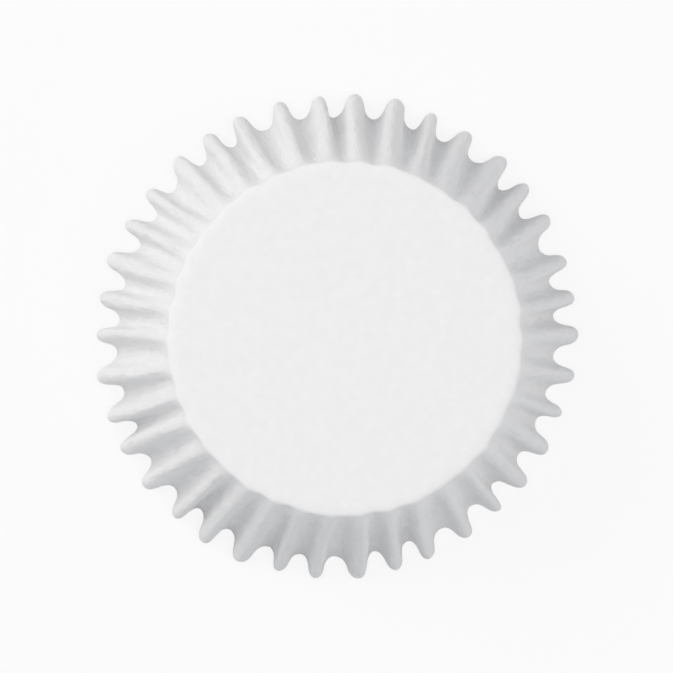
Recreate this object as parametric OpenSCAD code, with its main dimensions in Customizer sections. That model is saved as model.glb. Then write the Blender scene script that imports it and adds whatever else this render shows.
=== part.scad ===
// Paper cupcake liner: one round blank pressed into a cup, with a flat base and a pleated wall.
// It lies turned over, as it rests on a table: the rim is down on z = 0 and the base is on top.
// The wall is folded from the blank without stretching, so each turn of the wall holds more paper
// than its own circumference, and that surplus sets how deep the pleats stand at each height.

/* [Paper blank] */
// Diameter of the flat round blank
blank_d = 120; // [110:0.5:128]
// Thickness of the paper
paper_t = 0.08; // [0.06:0.01:0.2]

/* [Cup] */
// Diameter of the flat base, up to where the paper starts to bend
base_d = 50; // [44:0.5:56]
// Radius of the bend between the base and the wall
bend_r = 0.8; // [0.5:0.1:2]
// Lean of the wall outwards, in degrees from upright
wall_lean = 14.8; // [12:0.2:22]

/* [Pleats] */
// Number of pleats round the wall
pleats = 38; // [30:1:44]
// Direction of the first pleat's ridge, in degrees
first_ridge = 0; // [-10:0.5:10]
// How much sooner the paper turns at a ridge than in a groove, in degrees of its wave
ridge_pinch = 9; // [0:1:20]

/* [Hand of the paper] */
// How much further the rim stands out along its long direction than on average
oval = 0.35; // [0:0.05:0.6]
// Direction of the rim's longest diameter, in degrees
oval_direction = 54; // [0:1:180]
// Spread of the ridges and grooves sideways at the rim, as a share of one pleat
side_wander = 0.06; // [0:0.005:0.08]
// Spread of the ridges and grooves in and out at the rim
depth_wander = 0.16; // [0:0.01:0.3]

/* [Hidden] */

base_r = base_d / 2;
rim_reach = blank_d / 2;
bend_turn = 90 - wall_lean;
bend_length = bend_r * bend_turn * PI / 180;
wall_start = base_r + bend_length;

// A round of pleats closes only with a whole number of them
pleat_count = round(pleats);
folds = 2 * pleat_count;
half_wave_steps = 6;
columns = half_wave_steps * folds;

// Distances from the middle of the blank, measured along the paper, at which the wall has a row
wall_shares = [0, 0.2, 0.53, 1];
reaches = concat(
    [base_r, base_r + bend_length / 2],
    [for (share = wall_shares) wall_start + share * (rim_reach - wall_start)]);
last_row = len(reaches) - 1;

// Mean section of the cup as [radius, drop below the base], with the pleats smoothed away
function section(reach) =
    let (turn = min(max(reach - base_r, 0) / bend_r * 180 / PI, bend_turn),
         run = max(reach - wall_start, 0))
    [base_r + bend_r * sin(turn) + run * sin(wall_lean),
     bend_r * (1 - cos(turn)) + run * cos(wall_lean)];

// Direction square to that section, pointing out of the cup, as [outwards, upwards]
function section_normal(reach) =
    let (turn = min(max(reach - base_r, 0) / bend_r * 180 / PI, bend_turn))
    [sin(turn), cos(turn)];

// A pleat is a meander: the heading of the paper swings nearly as a sine, between +swing and
// -swing, a little sooner at the ridges, which are narrower than the grooves.
// The heading's mean cosine is how far the meander gets for each length of paper in it.
fine_steps = 24;
search_rounds = 20;
steepest_swing = 130;
function heading(phase, swing) = swing * sin(phase + ridge_pinch * sin(phase));
function progress(swing) =
    let (cosines = [for (k = [0:fine_steps - 1]) cos(heading((k + 0.5) * 180 / fine_steps, swing))])
    cosines * [for (k = [1:fine_steps]) 1] / fine_steps;

// The swing at which the meander's progress matches the room that the wall has for its paper
function swing_for(room, low = 0, high = steepest_swing, rounds = search_rounds) =
    let (middle = (low + high) / 2)
    rounds == 0 ? middle
    : progress(middle) > room ? swing_for(room, middle, high, rounds - 1)
    : swing_for(room, low, middle, rounds - 1);

// Running sums of one half wave, from a ridge down to a groove, at every fine step
function half_wave(swing) =
    [for (k = 0, x = 0, y = 0; k <= fine_steps;
          x = x + cos(heading((k + 0.5) * 180 / fine_steps, swing)) / fine_steps,
          y = y + sin(heading((k + 0.5) * 180 / fine_steps, swing)) / fine_steps,
          k = k + 1)
        [x, y]];

// Mean level of a half wave, as a share of its depth, measured down from the ridge
function mean_level(wave) =
    let (slices = [for (k = [1:fine_steps])
             (wave[k][0] - wave[k - 1][0]) * (wave[k][1] + wave[k - 1][1]) / 2])
    slices * [for (k = [1:fine_steps]) 1] / (wave[fine_steps][0] * wave[fine_steps][1]);

// How far along a half wave its points are at one of its steps, as shares of its width and depth;
// the way up from a groove mirrors the way down from a ridge
function shares(wave, step, down) =
    let (k = down ? step : fine_steps - step,
         x = wave[k][0] / wave[fine_steps][0],
         y = wave[k][1] / wave[fine_steps][1])
    down ? [x, y] : [1 - x, 1 - y];

// Slow and fast swings of a fold's own number, so that no two pleats are alike
fast_turn = 137.5;
slow_turn = 61.8;
side_seed = 20;
depth_seed = 75;
function wander(fold, seed) =
    sin(fast_turn * (fold % folds) + seed) + sin(slow_turn * (fold % folds) + 2 * seed);

// Ridges are the even folds of the wall and grooves the odd ones
function fold_angle(fold, growth) =
    first_ridge + (fold / 2 + side_wander * growth * wander(fold, side_seed)) * 360 / pleat_count;
function fold_height(fold, depth, level, growth) =
    depth * (level - fold % 2) + depth_wander * growth * wander(fold, depth_seed);

// One row of the wall's middle surface, all the way round
function row_points(reach) =
    let (mean = section(reach),
         normal = section_normal(reach),
         growth = max(reach - wall_start, 0) / (rim_reach - wall_start),
         swing = swing_for(mean[0] / reach),
         wave = half_wave(swing),
         half_paper = PI * reach / pleat_count,
         depth = wave[fine_steps][1] * half_paper,
         level = mean_level(wave))
    [for (column = [0:columns - 1])
        let (fold = floor(column / half_wave_steps),
             step = (column % half_wave_steps) * fine_steps / half_wave_steps,
             share = shares(wave, step, fold % 2 == 0),
             angle = fold_angle(fold, growth) * (1 - share[0])
                   + fold_angle(fold + 1, growth) * share[0],
             height = fold_height(fold, depth, level, growth) * (1 - share[1])
                    + fold_height(fold + 1, depth, level, growth) * share[1],
             radius = mean[0] + height * normal[0] + oval * growth * cos(2 * (angle - oval_direction)))
        [radius * cos(angle), radius * sin(angle), height * normal[1] - mean[1]]];

middle = [for (reach = reaches) row_points(reach)];

// The paper's own direction at each point, square to the wall, from its neighbours
function unit(v) = v / norm(v);
function paper_normal(row, column) =
    row == 0 ? [0, 0, 1]
    : let (along = middle[row][(column + 1) % columns] - middle[row][(column + columns - 1) % columns],
           down = middle[min(row + 1, last_row)][column] - middle[row - 1][column])
      unit(cross(down, along));

function skin(side) =
    [for (row = [0:last_row]) for (column = [0:columns - 1])
        middle[row][column] + side * paper_t / 2 * paper_normal(row, column)];

outer_skin = skin(1);
inner_skin = skin(-1);
lowest = min([for (point = concat(outer_skin, inner_skin)) point[2]]);
skin_size = len(outer_skin);

// Order of the points: outer skin, inner skin, then the middles of the base's two faces
function at(row, column) = row * columns + column % columns;
outer_middle = 2 * skin_size;
inner_middle = outer_middle + 1;

module liner() {
    points = concat(outer_skin, inner_skin, [[0, 0, paper_t / 2], [0, 0, -paper_t / 2]]);
    outer_wall = [for (row = [0:last_row - 1]) for (column = [0:columns - 1])
        each [[at(row, column), at(row, column + 1), at(row + 1, column)],
              [at(row, column + 1), at(row + 1, column + 1), at(row + 1, column)]]];
    inner_wall = [for (face = outer_wall) [face[2], face[1], face[0]] + [1, 1, 1] * skin_size];
    rim_edge = [for (column = [0:columns - 1])
        each [[at(last_row, column), at(last_row, column + 1), at(last_row, column) + skin_size],
              [at(last_row, column + 1), at(last_row, column + 1) + skin_size,
               at(last_row, column) + skin_size]]];
    base_faces = [for (column = [0:columns - 1])
        each [[outer_middle, at(0, column + 1), at(0, column)],
              [inner_middle, at(0, column) + skin_size, at(0, column + 1) + skin_size]]];
    color([0.95, 0.95, 0.96])
        translate([0, 0, -lowest])
            polyhedron(points, concat(outer_wall, inner_wall, rim_edge, base_faces), convexity = 12);
}

liner();
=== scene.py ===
import math

import bmesh
import bpy
from mathutils import Matrix, Vector


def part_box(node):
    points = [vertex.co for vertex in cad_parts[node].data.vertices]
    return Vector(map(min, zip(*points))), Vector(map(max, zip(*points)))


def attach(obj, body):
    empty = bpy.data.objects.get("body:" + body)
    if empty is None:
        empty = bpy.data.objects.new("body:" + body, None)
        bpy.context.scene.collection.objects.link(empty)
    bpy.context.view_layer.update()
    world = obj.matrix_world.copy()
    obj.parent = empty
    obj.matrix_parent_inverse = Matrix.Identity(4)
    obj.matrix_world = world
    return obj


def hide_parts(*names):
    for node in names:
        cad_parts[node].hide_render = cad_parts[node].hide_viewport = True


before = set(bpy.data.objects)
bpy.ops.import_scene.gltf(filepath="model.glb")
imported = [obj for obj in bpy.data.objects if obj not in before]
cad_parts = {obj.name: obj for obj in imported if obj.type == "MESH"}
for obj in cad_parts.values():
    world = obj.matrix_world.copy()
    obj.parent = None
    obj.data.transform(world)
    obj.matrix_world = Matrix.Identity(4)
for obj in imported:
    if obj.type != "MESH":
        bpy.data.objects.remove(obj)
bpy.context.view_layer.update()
print("frame loaded")


def startFresh():
    if bpy.context.mode != "OBJECT":
        bpy.ops.object.mode_set(mode="OBJECT")
    bpy.ops.object.select_all(action="DESELECT")


def applyModifier(piece, kind, **settings):
    modifier = piece.modifiers.new(kind.title(), kind)
    for name, value in settings.items():
        setattr(modifier, name, value)
    bpy.context.view_layer.objects.active = piece
    bpy.ops.object.modifier_apply(modifier=modifier.name)


# The paper cup, in metres and degrees
liner = {
    "blankRadius": 0.05977,    # the flat round blank, less what its crinkles need at the rim
    "baseRadius": 0.02515,     # base, up to the bend
    "shoulderWidth": 0.0012,   # its outermost part, which already turns down a little
    "shoulderTurn": 11,        # by how many degrees
    "bendRadius": 0.00065,     # bend between base and wall
    "wallLean": 15.0,          # lean of the wall from upright
    "pleats": 38,
    "ridgePinch": 9,           # how much sooner the paper turns near a ridge than near a groove
    "fullness": 0.05,          # share by which the pleats have set deeper at the rim
    "paper": 0.00008,          # thickness
    "shoulderRows": 3,         # rows of the mesh across the shoulder
    "bendRows": 3,             # and round the bend
    "wallRows": 10,            # and down the wall
    "rowCrowding": 1.3,        # above 1, the wall's rows stand closer together near the base
    "placesPerHalf": 6,        # columns of the mesh from a ridge to the next groove
    "baseRings": (0.0234, 0.0215, 0.015, 0.008, 0.002),
    "baseSink": 0.00003,       # room left above the base for its own slight swells
    "creaseAngle": 40,         # edges sharper than this aren't shaded smooth
}

# What the press, the stack and a hand did to it by chance
unevenness = {
    "oval": 0.00035,           # how far the rim's long direction stands out
    "ovalDirection": 54,
    "sideWander": 0.06,        # shift of a fold sideways at the rim, as a share of one pleat
    "sideSeed": 20,
    "depthWander": 0.00016,    # shift of a fold in and out at the rim
    "depthSeed": 75,
    "bow": 0.055,              # sideways bow of a fold halfway down, as a share of one pleat
    "bowSeed": 40,
    "edgeWander": 0.00009,     # shift of the base's edge in and out
    "edgeSeed": 115,
    "edgeReach": 0.006,        # how far down the wall that shift fades out
    "cockleHeight": 0.00045,   # slow swells of the wall
    "cockleSize": 0.005,
    "crinkleHeight": 0.00020,  # small crinkles across the folds
    "crinkleSize": 0.0022,
    "swellReach": 0.004,       # how far out from the base both reach their full height
    "baseSwell": 0.08,         # share of their height that the base keeps
}


# Section of the cup with the pleats smoothed away: radius, drop below the base, turn from flat
lean = math.radians(liner["wallLean"])
shoulderTurn = math.radians(liner["shoulderTurn"])
shoulderRadius = liner["shoulderWidth"] / shoulderTurn
shoulderStart = liner["baseRadius"] - liner["shoulderWidth"]
bendTurn = math.pi / 2 - lean - shoulderTurn
wallStart = liner["baseRadius"] + liner["bendRadius"] * bendTurn
wallLength = liner["blankRadius"] - wallStart


def section(reach):
    early = min((reach - shoulderStart) / shoulderRadius, shoulderTurn)
    turn = early + min(max(reach - liner["baseRadius"], 0) / liner["bendRadius"], bendTurn)
    run = max(reach - wallStart, 0)
    radius = shoulderStart + shoulderRadius * math.sin(early) \
        + liner["bendRadius"] * (math.sin(turn) - math.sin(early)) + run * math.sin(lean)
    drop = shoulderRadius * (1 - math.cos(early)) \
        + liner["bendRadius"] * (math.cos(early) - math.cos(turn)) + run * math.cos(lean)
    return radius, drop, turn


# A pleat is a meander: the paper's heading swings nearly as a sine between +swing and -swing
fineSteps = 96
searchRounds = 30
steepestSwing = math.radians(130)


def halfWave(swing):
    x, y, points = 0.0, 0.0, [(0.0, 0.0)]
    for k in range(fineSteps):
        phase = (k + 0.5) * math.pi / fineSteps
        heading = swing * math.sin(phase + math.radians(liner["ridgePinch"]) * math.sin(phase))
        x += math.cos(heading) / fineSteps
        y += math.sin(heading) / fineSteps
        points.append((x, y))
    return points


# The swing at which the paper of a pleat just fits the room that the cup has for it
def swingFor(room):
    low, high = 0.0, steepestSwing
    for _ in range(searchRounds):
        middle = (low + high) / 2
        if halfWave(middle)[-1][0] > room:
            low = middle
        else:
            high = middle
    return middle


# What each row of the mesh needs to know: where it is, and how the paper folds there
half = liner["placesPerHalf"]
folds = 2 * liner["pleats"]
columns = half * folds
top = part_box("liner")[1].z - liner["paper"] / 2 - liner["baseSink"]
smoothingLoss = (3 + math.cos(math.pi / half)) / 4    # what one level of smoothing takes off a wave


def makeRow(reach):
    radius, drop, turn = section(reach)
    growth = max(reach - wallStart, 0) / wallLength
    wave = halfWave(swingFor(radius / reach))
    depth = wave[-1][1] * math.pi * reach / liner["pleats"] * (1 + liner["fullness"] * growth)
    stops = [wave[place * fineSteps // half] for place in range(half + 1)]
    slices = [(b[0] - a[0]) * (b[1] + a[1]) / 2 for a, b in zip(wave, wave[1:])]
    return {
        "radius": radius,
        "z": top - drop,
        "out": math.sin(turn),
        "up": math.cos(turn),
        "depth": depth / smoothingLoss,
        "across": [x / wave[-1][0] for x, y in stops],
        "down": [y / wave[-1][1] for x, y in stops],
        "level": sum(slices) / (wave[-1][0] * wave[-1][1]),    # the wave's mean, from the ridge
        "growth": growth,
        "nearBase": max(0, 1 - max(reach - wallStart, 0) / unevenness["edgeReach"]),
    }


shoulderReaches = [shoulderStart + liner["shoulderWidth"] * k / liner["shoulderRows"]
                   for k in range(liner["shoulderRows"])]
bendReaches = [liner["baseRadius"] + liner["bendRadius"] * bendTurn * k / liner["bendRows"]
               for k in range(liner["bendRows"] + 1)]
wallReaches = [wallStart + wallLength * (k / liner["wallRows"]) ** liner["rowCrowding"]
               for k in range(1, liner["wallRows"] + 1)]
rows = [makeRow(reach) for reach in shoulderReaches + bendReaches + wallReaches]


def pressSmoothCup():
    startFresh()
    bpy.ops.mesh.primitive_circle_add(vertices=columns, radius=rows[0]["radius"],
                                      fill_type="NOTHING", location=(0, 0, rows[0]["z"]))
    piece = bpy.context.object
    piece.name = "liner_paper"
    bpy.ops.object.transform_apply(location=True, rotation=False, scale=False)
    bpy.ops.object.mode_set(mode="EDIT")
    bpy.ops.mesh.select_mode(type="VERT")
    bpy.ops.mesh.select_all(action="SELECT")
    mesh = bmesh.from_edit_mesh(piece.data)
    mesh.verts.layers.int.new("row")
    mesh.verts.layers.int.new("column")
    numberTheRing(piece, 0)
    for number in range(1, len(rows)):
        last, row = rows[number - 1], rows[number]
        grow = row["radius"] / last["radius"]
        bpy.ops.mesh.extrude_region_move(
            TRANSFORM_OT_translate={"value": (0, 0, row["z"] - last["z"])})
        bpy.ops.transform.resize(value=(grow, grow, 1), center_override=(0, 0, 0))
        numberTheRing(piece, number)
    return piece


def numberTheRing(piece, number):
    mesh = bmesh.from_edit_mesh(piece.data)
    rowLayer = mesh.verts.layers.int["row"]
    columnLayer = mesh.verts.layers.int["column"]
    for vert in mesh.verts:
        if vert.select:
            turn = math.degrees(math.atan2(vert.co.y, vert.co.x))
            vert[rowLayer] = number
            vert[columnLayer] = round(turn * columns / 360) % columns
    bmesh.update_edit_mesh(piece.data)


def selectPlace(piece, number, place):
    mesh = bmesh.from_edit_mesh(piece.data)
    rowLayer = mesh.verts.layers.int["row"]
    columnLayer = mesh.verts.layers.int["column"]
    for vert in mesh.verts:
        vert.select_set(vert[rowLayer] == number and vert[columnLayer] % (2 * half) == place)
    bmesh.update_edit_mesh(piece.data)


def raisePleats(piece):
    halfPitch = math.pi / liner["pleats"]
    for number, row in enumerate(rows):
        for place in range(2 * half):
            stop = min(place, 2 * half - place)              # the way up mirrors the way down
            side = 1 if place <= half else -1
            shift = side * (row["across"][stop] - stop / half) * halfPitch
            height = row["depth"] * (row["level"] - row["down"][stop])
            reachOut = 1 + height * row["out"] / row["radius"]
            selectPlace(piece, number, place)
            bpy.ops.transform.rotate(value=-shift, orient_axis="Z", center_override=(0, 0, 0))
            bpy.ops.transform.resize(value=(reachOut, reachOut, 1), center_override=(0, 0, 0))
            bpy.ops.transform.translate(value=(0, 0, height * row["up"]))


# Slow and fast swings of a fold's own number, so that no two pleats are alike
fastTurn = 137.5
slowTurn = 61.8


def wander(fold, seed):
    return math.sin(math.radians(fastTurn * fold + seed)) \
        + math.sin(math.radians(slowTurn * fold + 2 * seed))


# The same for a place on the way from one fold to the next
def between(fold, share, seed):
    return wander(fold, seed) * (1 - share) + wander((fold + 1) % folds, seed) * share


def loosenByHand(piece):
    mesh = bmesh.from_edit_mesh(piece.data)
    rowLayer = mesh.verts.layers.int["row"]
    columnLayer = mesh.verts.layers.int["column"]
    for vert in mesh.verts:
        row = rows[vert[rowLayer]]
        fold, place = divmod(vert[columnLayer], half)
        across, down = row["across"][place], row["down"][place]
        if fold % 2:                                         # on the way up from a groove
            across, down = 1 - row["across"][half - place], 1 - row["down"][half - place]
        side = unevenness["sideWander"] * between(fold, across, unevenness["sideSeed"])
        depth = unevenness["depthWander"] * between(fold, down, unevenness["depthSeed"])
        bow = unevenness["bow"] * between(fold, across, unevenness["bowSeed"])
        edge = unevenness["edgeWander"] * between(fold, across, unevenness["edgeSeed"])
        shift = side * row["growth"] + bow * math.sin(math.pi * row["growth"])
        angle = math.atan2(vert.co.y, vert.co.x) + shift * 2 * math.pi / liner["pleats"]
        longWay = math.cos(2 * (angle - math.radians(unevenness["ovalDirection"])))
        height = depth * row["growth"]
        radius = math.hypot(vert.co.x, vert.co.y) + height * row["out"] \
            + unevenness["oval"] * row["growth"] * longWay + edge * row["nearBase"]
        vert.co = Vector((radius * math.cos(angle), radius * math.sin(angle),
                          vert.co.z + height * row["up"]))
    bmesh.update_edit_mesh(piece.data)


def closeTheBase(piece):
    bpy.ops.mesh.select_all(action="DESELECT")
    mesh = bmesh.from_edit_mesh(piece.data)
    rowLayer = mesh.verts.layers.int["row"]
    for vert in mesh.verts:
        vert.select_set(vert[rowLayer] == 0)
    mesh.select_flush(True)
    bmesh.update_edit_mesh(piece.data)
    last = rows[0]["radius"]
    for ring in liner["baseRings"]:
        bpy.ops.mesh.extrude_region_move()
        bpy.ops.transform.resize(value=(ring / last, ring / last, 1), center_override=(0, 0, 0))
        last = ring
    bpy.ops.object.mode_set(mode="OBJECT")
    applyModifier(piece, "SUBSURF", levels=1, render_levels=1)
    bpy.ops.object.mode_set(mode="EDIT")
    bpy.ops.mesh.select_all(action="DESELECT")
    mesh = bmesh.from_edit_mesh(piece.data)
    hole = last * 1.5                                        # past the innermost ring alone
    for vert in mesh.verts:
        vert.select_set(math.hypot(vert.co.x, vert.co.y) < hole)
    mesh.select_flush(True)
    bmesh.update_edit_mesh(piece.data)
    bpy.ops.mesh.edge_face_add()
    bpy.ops.mesh.poke()
    bpy.ops.mesh.select_all(action="SELECT")
    bpy.ops.mesh.normals_make_consistent(inside=False)
    bpy.ops.object.mode_set(mode="OBJECT")


# The wall swells fully, and the base only a little
def weighTheWall(piece):
    wall = piece.vertex_groups.new(name="wall")
    for vert in piece.data.vertices:
        past = math.hypot(vert.co.x, vert.co.y) - liner["baseRadius"]
        share = min(max(past / unevenness["swellReach"], unevenness["baseSwell"]), 1)
        wall.add([vert.index], share, "REPLACE")


def swellTheWall(piece, name):
    clouds = bpy.data.textures.new(name, "CLOUDS")
    clouds.noise_scale = unevenness[name + "Size"]
    clouds.noise_depth = 2
    applyModifier(piece, "DISPLACE", texture=clouds, texture_coords="LOCAL", mid_level=0.5,
                  strength=unevenness[name + "Height"], direction="NORMAL", vertex_group="wall")


def makeLiner():
    piece = pressSmoothCup()
    print("smooth cup pressed")
    raisePleats(piece)
    print("pleats raised")
    loosenByHand(piece)
    closeTheBase(piece)
    print("base closed")
    weighTheWall(piece)
    swellTheWall(piece, "cockle")
    swellTheWall(piece, "crinkle")
    applyModifier(piece, "SOLIDIFY", thickness=liner["paper"], offset=0)
    startFresh()
    piece.select_set(True)
    bpy.context.view_layer.objects.active = piece
    bpy.ops.object.shade_smooth_by_angle(angle=math.radians(liner["creaseAngle"]))
    print("liner done,", len(piece.data.polygons), "faces")
    return piece


def newMaterial(name):
    material = bpy.data.materials.new(name)
    material.use_nodes = True
    material.node_tree.nodes.clear()
    return material


# Settings go to the sockets of the same names, and the others to the node itself
def addNode(tree, kind, **settings):
    node = tree.nodes.new(kind)
    for name, value in settings.items():
        if name in node.inputs:
            node.inputs[name].default_value = value
        else:
            setattr(node, name, value)
    return node


paperLook = {
    "white": (0.86, 0.86, 0.86),
    "thin": (0.84, 0.84, 0.84),     # where the sheet is a little thinner
    "mottleScale": 700,
    "mottleThin": 0.35,             # mottle below this is thin,
    "mottleWhite": 0.62,            # and above this is white
    "fibreScale": 1500,
    "fibreDepth": 0.000015,
    "creaseScale": 1100,            # fine creases down the folds, on the wall alone
    "creaseStretch": 0.15,          # the smaller, the longer they run down the wall
    "creaseDepth": 0.00050,
    "creaseStart": 0.0008,          # how far below the base they begin
    "creaseFull": 0.0060,           # and where they reach their full depth
    "roughness": 0.78,
    "roughnessSpread": 0.08,        # how much rougher or smoother the fibres make it
    "ior": 1.4,
    "specular": 0.12,               # hardly any shine
}


# Places on a cylinder round the cup, squeezed in height, so that a pattern runs down the folds
def downTheFolds(tree, place):
    radius = liner["baseRadius"]
    flat = addNode(tree, "ShaderNodeVectorMath", operation="MULTIPLY")
    flat.inputs[1].default_value = (1, 1, 0)
    tree.links.new(place, flat.inputs[0])
    around = addNode(tree, "ShaderNodeVectorMath", operation="NORMALIZE")
    tree.links.new(flat.outputs["Vector"], around.inputs[0])
    wide = addNode(tree, "ShaderNodeVectorMath", operation="MULTIPLY")
    wide.inputs[1].default_value = (radius, radius, 0)
    tree.links.new(around.outputs["Vector"], wide.inputs[0])
    low = addNode(tree, "ShaderNodeVectorMath", operation="MULTIPLY_ADD")
    low.inputs[1].default_value = (0, 0, paperLook["creaseStretch"])
    tree.links.new(place, low.inputs[0])
    tree.links.new(wide.outputs["Vector"], low.inputs[2])
    return low.outputs["Vector"]


def addNoise(tree, place, **settings):
    noise = addNode(tree, "ShaderNodeTexNoise", **settings)
    tree.links.new(place, noise.inputs["Vector"])
    return noise.outputs["Fac"]


# How deep the fine creases are: nothing on the base, then more and more down the wall
def creaseDepthByHeight(tree, place):
    axes = addNode(tree, "ShaderNodeSeparateXYZ")
    tree.links.new(place, axes.inputs["Vector"])
    depth = addNode(tree, "ShaderNodeMapRange", **{
        "From Min": top - paperLook["creaseFull"],
        "From Max": top - paperLook["creaseStart"],
        "To Min": paperLook["creaseDepth"],
        "To Max": 0,
    })
    tree.links.new(axes.outputs["Z"], depth.inputs["Value"])
    return depth.outputs["Result"]


def makePaper():
    paper = newMaterial("greaseproof_paper")
    tree = paper.node_tree
    place = addNode(tree, "ShaderNodeTexCoord").outputs["Object"]
    mottle = addNoise(tree, place, Scale=paperLook["mottleScale"], Detail=5, Roughness=0.6)
    fibre = addNoise(tree, place, Scale=paperLook["fibreScale"], Detail=4, Distortion=1.5)
    crease = addNoise(tree, downTheFolds(tree, place), Scale=paperLook["creaseScale"], Detail=2)

    tone = addNode(tree, "ShaderNodeValToRGB")
    thin, white = tone.color_ramp.elements
    thin.position = paperLook["mottleThin"]
    thin.color = (*paperLook["thin"], 1)
    white.position = paperLook["mottleWhite"]
    white.color = (*paperLook["white"], 1)
    tree.links.new(mottle, tone.inputs["Fac"])

    fibreRelief = addNode(tree, "ShaderNodeMath", operation="MULTIPLY")
    fibreRelief.inputs[1].default_value = paperLook["fibreDepth"]
    tree.links.new(fibre, fibreRelief.inputs[0])
    relief = addNode(tree, "ShaderNodeMath", operation="MULTIPLY_ADD")
    tree.links.new(crease, relief.inputs[0])
    tree.links.new(creaseDepthByHeight(tree, place), relief.inputs[1])
    tree.links.new(fibreRelief.outputs["Value"], relief.inputs[2])
    grain = addNode(tree, "ShaderNodeBump", Strength=1, Distance=1)
    tree.links.new(relief.outputs["Value"], grain.inputs["Height"])

    dull = addNode(tree, "ShaderNodeMapRange", **{
        "To Min": paperLook["roughness"] - paperLook["roughnessSpread"],
        "To Max": paperLook["roughness"] + paperLook["roughnessSpread"],
    })
    tree.links.new(fibre, dull.inputs["Value"])

    shader = addNode(tree, "ShaderNodeBsdfPrincipled", **{
        "IOR": paperLook["ior"],
        "Specular IOR Level": paperLook["specular"],
    })
    tree.links.new(tone.outputs["Color"], shader.inputs["Base Color"])
    tree.links.new(dull.outputs["Result"], shader.inputs["Roughness"])
    tree.links.new(grain.outputs["Normal"], shader.inputs["Normal"])
    output = addNode(tree, "ShaderNodeOutputMaterial")
    tree.links.new(shader.outputs["BSDF"], output.inputs["Surface"])
    print("paper material made")
    return paper


studio = {
    "sky": 0.445,              # even light from all round
    "skyTint": (0.91, 0.935, 1.0),
    "lampDistance": 0.7,       # from the middle of the cup
    "lampTint": (1.0, 0.98, 0.94),
    "lamps": (                 # name, size, power, side from +X, degrees above the floor
        ("side_softbox", 0.8, 2.90, 150, 35),
        ("overhead_light", 0.3, 1.55, 330, 75),
        ("low_fill", 0.3, 0.40, 0, 25),
    ),
    "floorWhite": 0.8,
    "floorGlow": 0.85,         # share of plain white that the camera sees in the floor
    "floorSize": 12,
}


# 1 for the rays that show the backdrop, and 0 for those that light the cup
def addBackdropRays(tree):
    rays = addNode(tree, "ShaderNodeLightPath")
    seen = rays.outputs["Is Camera Ray"]
    for kind in ("Is Glossy Ray", "Is Transmission Ray"):
        either = addNode(tree, "ShaderNodeMath", operation="MAXIMUM")
        tree.links.new(seen, either.inputs[0])
        tree.links.new(rays.outputs[kind], either.inputs[1])
        seen = either.outputs["Value"]
    return seen


def makeFloor():
    startFresh()
    bpy.ops.mesh.primitive_plane_add(size=studio["floorSize"], location=(0, 0, 0))
    floor = bpy.context.object
    floor.name = "floor"
    material = newMaterial("white_floor")
    tree = material.node_tree
    matt = addNode(tree, "ShaderNodeBsdfDiffuse", Color=(*[studio["floorWhite"]] * 3, 1))
    glow = addNode(tree, "ShaderNodeEmission", Strength=1)
    seen = addNode(tree, "ShaderNodeMath", operation="MULTIPLY")
    seen.inputs[1].default_value = studio["floorGlow"]
    tree.links.new(addBackdropRays(tree), seen.inputs[0])
    mix = addNode(tree, "ShaderNodeMixShader")
    tree.links.new(seen.outputs["Value"], mix.inputs["Fac"])
    tree.links.new(matt.outputs["BSDF"], mix.inputs[1])
    tree.links.new(glow.outputs["Emission"], mix.inputs[2])
    output = addNode(tree, "ShaderNodeOutputMaterial")
    tree.links.new(mix.outputs["Shader"], output.inputs["Surface"])
    floor.data.materials.append(material)
    print("floor laid")


def makeSky():
    world = bpy.data.worlds.new("studio")
    world.use_nodes = True
    bpy.context.scene.world = world
    tree = world.node_tree
    tree.nodes.clear()
    soft = addNode(tree, "ShaderNodeBackground", Color=(*studio["skyTint"], 1),
                   Strength=studio["sky"])
    white = addNode(tree, "ShaderNodeBackground", Color=(1, 1, 1, 1), Strength=1)
    mix = addNode(tree, "ShaderNodeMixShader")
    tree.links.new(addBackdropRays(tree), mix.inputs["Fac"])
    tree.links.new(soft.outputs["Background"], mix.inputs[1])
    tree.links.new(white.outputs["Background"], mix.inputs[2])
    output = addNode(tree, "ShaderNodeOutputWorld")
    tree.links.new(mix.outputs["Shader"], output.inputs["Surface"])


# One metre towards a side, in degrees from +X, and a height, in degrees above the floor
def direction(side, height):
    side, height = math.radians(side), math.radians(height)
    return Vector((math.cos(side) * math.cos(height), math.sin(side) * math.cos(height),
                   math.sin(height)))


def makeLamps():
    cupMiddle = Vector((0, 0, top / 2))
    for name, size, power, side, height in studio["lamps"]:
        startFresh()
        bpy.ops.object.light_add(type="AREA")
        lamp = bpy.context.object
        lamp.name = name
        lamp.data.shape = "DISK"
        lamp.data.size = size
        lamp.data.energy = power
        lamp.data.color = studio["lampTint"]
        away = direction(side, height)
        lamp.location = cupMiddle + away * studio["lampDistance"]
        lamp.rotation_euler = away.to_track_quat("Z", "Y").to_euler()
    print("sky and lamps set")


view = {
    "distance": 0.78,          # camera to the base
    "fieldWidth": 0.0969,      # width of the picture at the base
    "tilt": 2.3,               # degrees off the cup's own axis
    "towards": 165,            # side that the camera leans to, from +X
}


def makeCamera():
    startFresh()
    bpy.ops.object.camera_add()
    camera = bpy.context.object
    camera.name = "camera"
    away = direction(view["towards"], 90 - view["tilt"])
    right = Vector((0, 1, 0)).cross(away).normalized()
    up = away.cross(right)
    place = away * (view["distance"] + top)
    camera.matrix_world = Matrix((
        (right.x, up.x, away.x, place.x),
        (right.y, up.y, away.y, place.y),
        (right.z, up.z, away.z, place.z),
        (0, 0, 0, 1),
    ))
    camera.data.lens = camera.data.sensor_width * view["distance"] / view["fieldWidth"]
    bpy.context.scene.camera = camera
    print("camera set")


paperCup = makeLiner()
paperCup.data.materials.clear()
paperCup.data.materials.append(makePaper())
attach(paperCup, "root")
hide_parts("liner")
makeFloor()
makeSky()
makeLamps()
makeCamera()
bpy.context.scene.view_settings.view_transform = "Standard"
